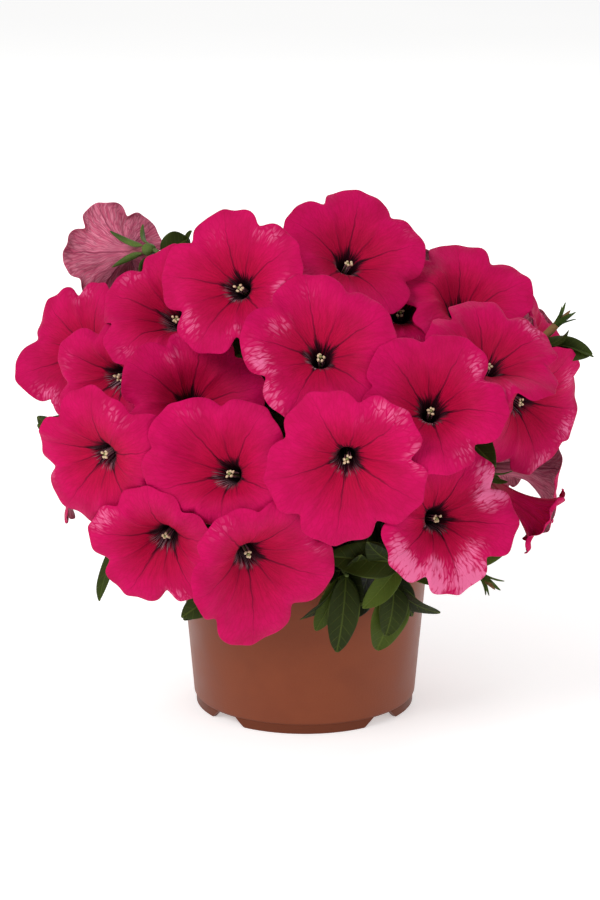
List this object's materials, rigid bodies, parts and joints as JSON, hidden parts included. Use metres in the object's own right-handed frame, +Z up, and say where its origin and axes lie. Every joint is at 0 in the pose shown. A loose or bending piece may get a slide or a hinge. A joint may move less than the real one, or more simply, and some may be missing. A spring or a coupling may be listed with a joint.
{
  "type": "potted petunia",
  "caption": "Bushy petunia in full bloom, a mound of trumpet flowers and leaves over a plain tapered nursery pot that stands on the floor or a shelf.",
  "frame": {"origin": "on the floor, under the middle of the pot", "axes": "+Z up; -Y is the front, the side that the picture shows; +X is to its right"},
  "size_m": [0.2761, 0.2765, 0.2611],
  "materials": {
    "pot_plastic": "satin terracotta-brown moulded polypropylene",
    "potting_mix": "dark crumbly peat and bark",
    "petals": "soft velvety magenta petal with darker veins",
    "leaves_and_stems": "softly hairy green leaf, sepal and stem"
  },
  "bodies": {
    "root": {"bloom_01": "petals", "bloom_02": "petals", "bloom_03": "petals", "bloom_04": "petals", "bloom_05": "petals", "bloom_06": "petals", "bloom_07": "petals", "bloom_08": "petals", "bloom_09": "petals", "bloom_10": "petals", "bloom_11": "petals", "bloom_12": "petals", "bloom_13": "petals", "bloom_14": "petals", "bloom_15": "petals", "bloom_16": "petals", "bloom_17": "petals", "bloom_18": "petals", "bloom_19": "petals", "bloom_20": "petals", "bloom_21": "petals", "bloom_22": "petals", "bloom_23": "petals", "bloom_24": "petals", "bloom_25": "petals", "bloom_26": "petals", "bloom_27": "petals", "bloom_28": "petals", "bloom_29": "petals", "bloom_30": "petals", "bloom_31": "petals", "bloom_32": "petals", "bloom_33": "petals", "bloom_34": "petals", "bloom_35": "petals", "bloom_36": "petals", "leafy_stem_back": "leaves_and_stems", "leafy_stem_back_left": "leaves_and_stems", "leafy_stem_back_right": "leaves_and_stems", "leafy_stem_front": "leaves_and_stems", "leafy_stem_front_left": "leaves_and_stems", "leafy_stem_front_right": "leaves_and_stems", "leafy_stem_left": "leaves_and_stems", "leafy_stem_left_of_front": "leaves_and_stems", "leafy_stem_right": "leaves_and_stems", "leafy_stem_right_of_back": "leaves_and_stems", "leafy_stem_right_of_front": "leaves_and_stems", "leafy_stem_top": "leaves_and_stems", "pot": "pot_plastic", "soil": "potting_mix"}
  },
  "joints": []
}
